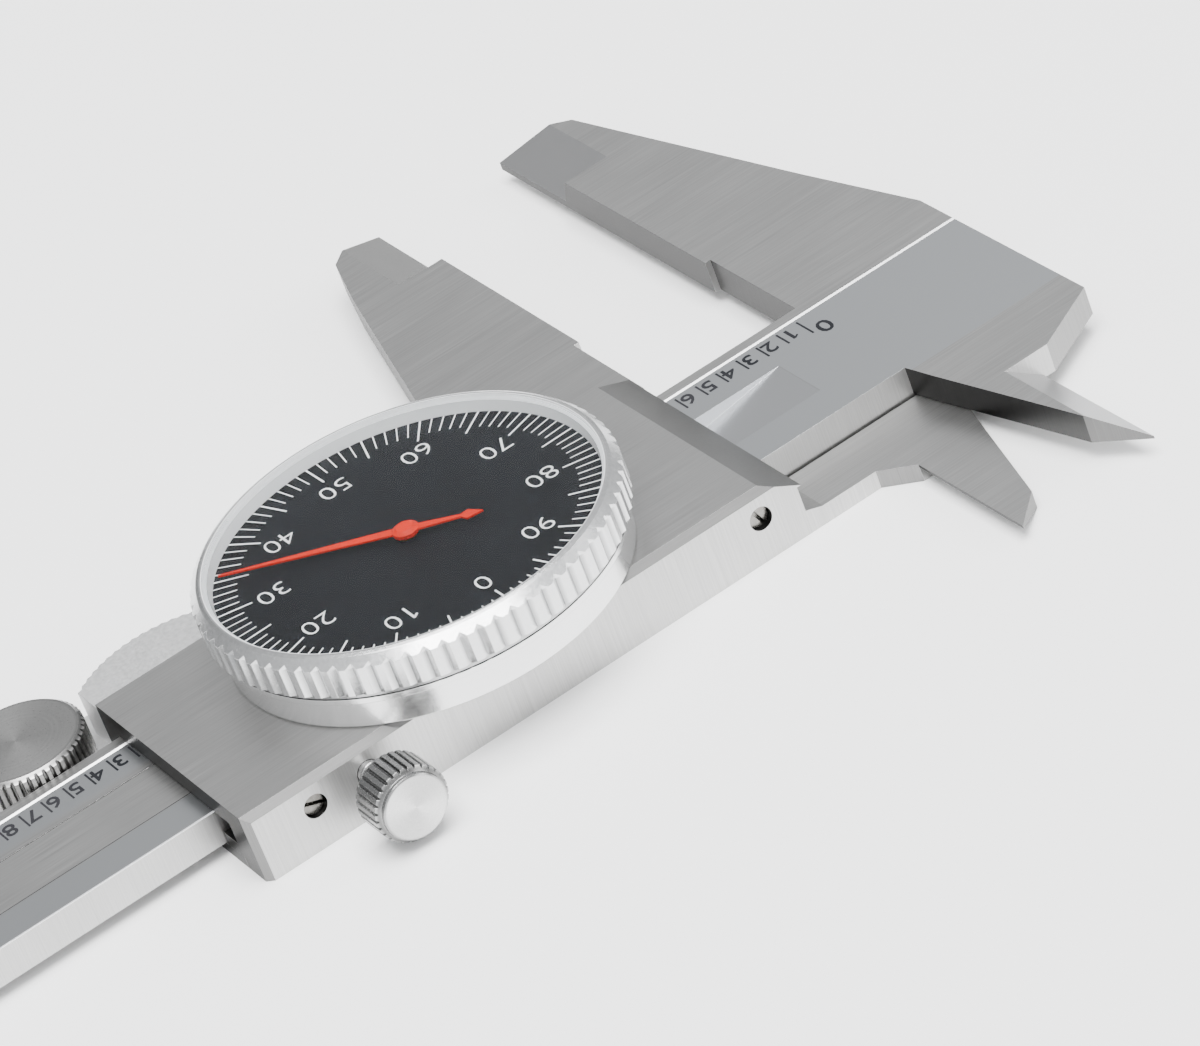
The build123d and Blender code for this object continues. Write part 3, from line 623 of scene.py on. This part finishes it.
# %% [markdown]
# On the real tool the marks are etched or printed. They could be a mask in a material, but
# thin pieces that lie on the metal keep sharp edges from near. Operators act on all that is
# selected, so everything is deselected before each of them. What repeats is joined into one
# piece, which takes its paint and rides on the body under it.

# %% Helpers for pieces
def select_only(*pieces):
    """Selects these pieces and makes the first one active."""
    if bpy.context.object and bpy.context.object.mode != "OBJECT":
        bpy.ops.object.mode_set(mode="OBJECT")
    bpy.ops.object.select_all(action="DESELECT")
    for piece in pieces:
        piece.select_set(True)
    if pieces:
        bpy.context.view_layer.objects.active = pieces[0]


def settle(piece):
    """Puts a piece's place into its mesh, so that its object sits at the origin."""
    select_only(piece)
    bpy.ops.object.transform_apply(location=True, rotation=True, scale=True)


def join(pieces, name, material, body):
    select_only(*pieces)
    if len(pieces) > 1:
        bpy.ops.object.join()
    piece = bpy.context.view_layer.objects.active
    piece.name = name
    settle(piece)
    piece.data.materials.clear()
    piece.data.materials.append(material)
    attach(piece, body)
    print(name, len(piece.data.polygons), "faces")


print("piece helpers made")


# %% [markdown]
# A division line is a small plate: a cube is added and scaled, its upright edges are bevelled
# a little in edit mode, and then it is copied to every place where the scale has a line.

# %% Helpers for lines
def plate(width, length, thickness):
    """One mark round the origin, its long side along Y, with softened corners."""
    select_only()
    bpy.ops.mesh.primitive_cube_add(size=1.0)
    piece = bpy.context.object
    piece.scale = (width, length, thickness)
    settle(piece)
    bpy.ops.object.mode_set(mode="EDIT")
    bpy.ops.mesh.select_all(action="DESELECT")
    bpy.ops.mesh.select_mode(type="EDGE")
    bpy.ops.object.mode_set(mode="OBJECT")
    for edge in piece.data.edges:
        a, b = (piece.data.vertices[i].co for i in edge.vertices)
        edge.select = abs(a.z - b.z) > thickness / 2
    bpy.ops.object.mode_set(mode="EDIT")
    bpy.ops.mesh.bevel(offset=width * 0.2, segments=1)
    bpy.ops.object.mode_set(mode="OBJECT")
    return piece


def copy_at(source, place, turn=0.0):
    piece = source.copy()
    piece.data = source.data.copy()
    piece.location = place
    piece.rotation_euler = Euler((0.0, 0.0, turn))
    bpy.context.collection.objects.link(piece)
    return piece


print("line helpers made")


# %% [markdown]
# The beam is divided into tenths of an inch for its whole travel. Each division line starts
# just inside the ridge line, and every tenth line marks a whole inch and is longer.

# %% The beam's division lines
tick = 2.54 * mm
zero_x = 0.8 * mm
divisions = 120
mark_far, mark_near = 33.9 * mm, 36.46 * mm
line_width, inch_extra = 0.21 * mm, 0.75 * mm
mark_t = 0.03 * mm
beam_mark_z = beam_top + 0.2 * mark_t
line = plate(line_width, mark_near - mark_far, mark_t)
inch_line = plate(line_width, mark_near - mark_far + inch_extra, mark_t)
lines = []
for i in range(divisions + 1):
    source, near = (line, mark_near) if i % 10 else (inch_line, mark_near + inch_extra)
    lines.append(copy_at(source, (zero_x + i * tick, (mark_far + near) / 2, beam_mark_z)))
bpy.data.objects.remove(line)
bpy.data.objects.remove(inch_line)
join(lines, "beam_division_lines", mark_black, "beam")


# %% [markdown]
# A figure could be drawn stroke by stroke, but a font gives all ten digits in one style. So a
# text object is thickened a little and made a mesh. `weight` makes its strokes bolder and
# `thin` makes them finer. The built-in font draws a 1 as a bare stroke, so a short slanted
# flag is laid at its head, as on the caliper's own figures.

# %% Helper for figures
digit_share = 0.73
flag_wide, flag_long, flag_turn = 0.1, 0.3, math.radians(-52)
flag_left, flag_up = 0.04, 0.38


def figure(words, height, thickness, weight=0.0, thin=0.0):
    """A figure round the origin. The text's size is set so that a digit has this height."""
    select_only()
    bpy.ops.object.text_add()
    text = bpy.context.object
    text.data.body = words
    text.data.align_x, text.data.align_y = "CENTER", "CENTER"
    text.data.resolution_u = 3
    text.data.bevel_depth, text.data.bevel_resolution = weight, 0
    text.data.offset = -thin
    text.data.extrude = thickness / 2
    bpy.context.view_layer.update()
    text.data.size = height / digit_share
    bpy.ops.object.convert(target="MESH")
    piece = bpy.context.object
    corners = [v.co.copy() for v in piece.data.vertices]
    middle = Vector([(min(c[i] for c in corners) + max(c[i] for c in corners)) / 2
                     for i in range(3)])
    piece.data.transform(Matrix.Translation(-middle))
    if words[0] == "1":
        left = min(c.x for c in corners) - middle.x
        flag = plate(flag_wide * height, flag_long * height, thickness)
        flag.rotation_euler = Euler((0.0, 0.0, flag_turn))
        flag.location = (left - flag_left * height, flag_up * height, 0.0)
        select_only(piece, flag)
        bpy.ops.object.join()
    return piece


print("figure helper made")


# %% [markdown]
# The tenths are numbered 1 to 9 again and again, and each whole inch has a larger figure with
# its own number. A digit is made once and copied, because the beam uses each a dozen times. A
# figure stands on the head's side of its line, so half of a tenth is its room.

# %% The beam's figures
digit_h, inch_h = 2.15 * mm, 2.5 * mm
digit_weight = 0.03 * mm
figure_x, figure_y = -0.9 * mm, (mark_far + mark_near) / 2
inch_shift, wide_shift, zero_shift, inch_y = 0.3 * mm, 0.8 * mm, 0.5 * mm, 2.0 * mm
digits = {n: figure(str(n), digit_h, mark_t, weight=digit_weight) for n in range(1, 10)}
figures = []
for i in range(1, divisions + 1):
    inches, tenth = divmod(i, 10)
    x = zero_x + i * tick + figure_x
    if tenth:
        figures.append(copy_at(digits[tenth], (x, figure_y, beam_mark_z)))
    else:
        whole = figure(str(inches), inch_h, mark_t, weight=digit_weight)
        x -= wide_shift if inches > 9 else inch_shift
        whole.location = (x, figure_y + inch_y, beam_mark_z)
        figures.append(whole)
zero = figure("0", inch_h, mark_t, weight=digit_weight)
zero.location = (zero_x + figure_x - zero_shift, figure_y + inch_y, beam_mark_z)
figures.append(zero)
for piece in digits.values():
    bpy.data.objects.remove(piece)
join(figures, "beam_figures", mark_black, "beam")


# %% [markdown]
# The dial has a hundred divisions, one for each thousandth of an inch, and every fifth is
# longer. They go round clockwise from a zero that stands towards the inside jaws, turned a
# little by the bezel. An array about the centre would do for equal lines. Because two lengths
# take turns, a loop over the hundred places is simpler.

# %% The dial's divisions
dial_turn = 1.45
dial_mark_z = face_high.z + 0.2 * mark_t
dial_edge = (face_high.x - face_low.x) / 2 - 0.3 * mm
short_in, long_in = 17.4 * mm, 16.27 * mm


def round_dial(index, radius):
    """The place and the angle of one of the hundred divisions."""
    angle = math.radians(90 + dial_turn) - index * math.tau / 100
    place = (dial_x + radius * math.cos(angle), dial_y + radius * math.sin(angle), dial_mark_z)
    return place, angle


short_line = plate(0.14 * mm, dial_edge - short_in, mark_t)
long_line = plate(0.20 * mm, dial_edge - long_in, mark_t)
strokes = []
for i in range(100):
    source, start = (long_line, long_in) if i % 5 == 0 else (short_line, short_in)
    place_at, angle = round_dial(i, (start + dial_edge) / 2)
    strokes.append(copy_at(source, place_at, angle - math.pi / 2))
bpy.data.objects.remove(short_line)
bpy.data.objects.remove(long_line)
join(strokes, "dial_division_lines", mark_white, "bezel_group")


# %% [markdown]
# Every tenth division has its number. All numbers stand upright as the beam is read, and they
# are printed on the dial, which the bezel turns, so they ride on the bezel's body.

# %% The dial's figures
figure_r, dial_digit_h = 14.1 * mm, 2.6 * mm
numbers = []
for value in range(0, 100, 10):
    number = figure(str(value), dial_digit_h, mark_t, thin=0.05 * mm)
    number.location = round_dial(value, figure_r)[0]
    numbers.append(number)
join(numbers, "dial_figures", mark_white, "bezel_group")


# %% [markdown]
# Between the lock screw's head and the slider a few turns of thread show. Rings would look
# alike from afar, but a thread climbs. Its tooth is drawn once as three points, and a Screw
# modifier winds it round the shank with a true pitch.

# %% The lock screw's thread
thread_pitch, thread_core, tooth_r = 0.7 * mm, 1.22 * mm, 0.24 * mm
quarter = math.pi / 2
select_only()
bpy.ops.mesh.primitive_circle_add(vertices=3, radius=tooth_r, fill_type="NOTHING",
                                  location=(thread_core + 0.06 * mm, 0.0, 0.0),
                                  rotation=(quarter, quarter, 0.0))
thread = bpy.context.object
settle(thread)
screw = thread.modifiers.new("wind", "SCREW")
screw.axis = "Z"
screw.screw_offset = thread_pitch
screw.iterations = 5
screw.steps = screw.render_steps = 24
screw.use_merge_vertices = True
screw.use_smooth_shade = True
bpy.ops.object.modifier_apply(modifier="wind")
thread.rotation_euler = Euler((-quarter, 0.0, 0.0))
thread.location = (lock_x, slider_near + thread_pitch / 2, lock_z)
bpy.ops.object.mode_set(mode="EDIT")
bpy.ops.mesh.select_all(action="SELECT")
bpy.ops.mesh.normals_make_consistent(inside=False)
bpy.ops.object.mode_set(mode="OBJECT")
join([thread], "lock_screw_thread", lock_steel, "lock_screw_group")


# %% [markdown]
# The caliper lies on a plain pale floor. The floor isn't part of the object.

# %% The floor
select_only()
bpy.ops.mesh.primitive_plane_add(size=6.0, location=(0.15, 0.05, slider_low.z))
floor = bpy.context.object
floor.name = "floor"
floor_paint, tree, shader = principled("pale floor")
shader.inputs["Base Color"].default_value = (0.95, 0.95, 0.95, 1.0)
shader.inputs["Roughness"].default_value = 0.9
floor.data.materials.append(floor_paint)
print("floor at", round(slider_low.z / mm, 2), "mm")


# %% [markdown]
# Polished metal shows what it mirrors. One large soft light above draws its pale planes, and
# a smaller one beyond the head, on the near side, gives the walls their shading.

# %% Lights
def soft_light(name, place, size, power):
    """A square light that looks at the middle of the caliper's head."""
    data = bpy.data.lights.new(name, "AREA")
    data.shape, data.size, data.energy = "SQUARE", size, power
    lamp = bpy.data.objects.new(name, data)
    lamp.location = place
    look = Vector((0.04, 0.04, 0.0)) - Vector(place)
    lamp.rotation_euler = look.to_track_quat("-Z", "Y").to_euler()
    bpy.context.collection.objects.link(lamp)


soft_light("top", (0.1, 0.5, 2.0), 1.6, 130.0)
soft_light("side", (-1.6, 0.9, 0.8), 0.8, 12.0)
print("two lights made")


# %% [markdown]
# The room is a pale world that is brighter on the near side. It has one soft bright spot, low
# on the far side beyond the head, so that the planes of the metal differ a little in tone.

# %% The room
spot_towards = Vector((-0.45, -0.75, 0.48)).normalized()
world = bpy.data.worlds.new("pale room")
bpy.context.scene.world = world
world.use_nodes = True
room = world.node_tree
direction = add(room, "ShaderNodeTexCoord").outputs["Generated"]
parts = add(room, "ShaderNodeSeparateXYZ")
wire(room, direction, parts.inputs[0])
glow = add(room, "ShaderNodeMapRange", From_Min=-1.0, From_Max=1.0, To_Min=0.3, To_Max=1.6)
wire(room, parts.outputs["Y"], glow.inputs["Value"])
towards = add(room, "ShaderNodeVectorMath", {"operation": "DOT_PRODUCT"})
wire(room, direction, towards.inputs[0])
towards.inputs[1].default_value = spot_towards
lobe = math_node(room, "POWER", math_node(room, "MAXIMUM", towards.outputs["Value"], 0.0), 40.0)
total = math_node(room, "ADD", glow.outputs[0], math_node(room, "MULTIPLY", lobe, 0.6))
background = room.nodes["Background"]
wire(room, total, background.inputs["Strength"])
background.inputs["Color"].default_value = (0.97, 0.985, 1.0, 1.0)
print("room made")


# %% [markdown]
# The camera stands where the photographer stood. Its place, turn and lens come from a fit of
# the beam's divisions and the dial's rim in the photograph.

# %% Camera
camera_data = bpy.data.cameras.new("camera")
camera = bpy.data.objects.new("camera", camera_data)
bpy.context.collection.objects.link(camera)
camera.location = (217.88 * mm, 535.62 * mm, 327.02 * mm)
camera.rotation_euler = Euler([math.radians(a) for a in (56.336, 18.009, 147.661)])
camera_data.sensor_width = 36.0
camera_data.lens = 189.73
camera_data.clip_start, camera_data.clip_end = 0.01, 10.0
bpy.context.scene.camera = camera
print("camera at", tuple(round(c, 3) for c in camera.location))
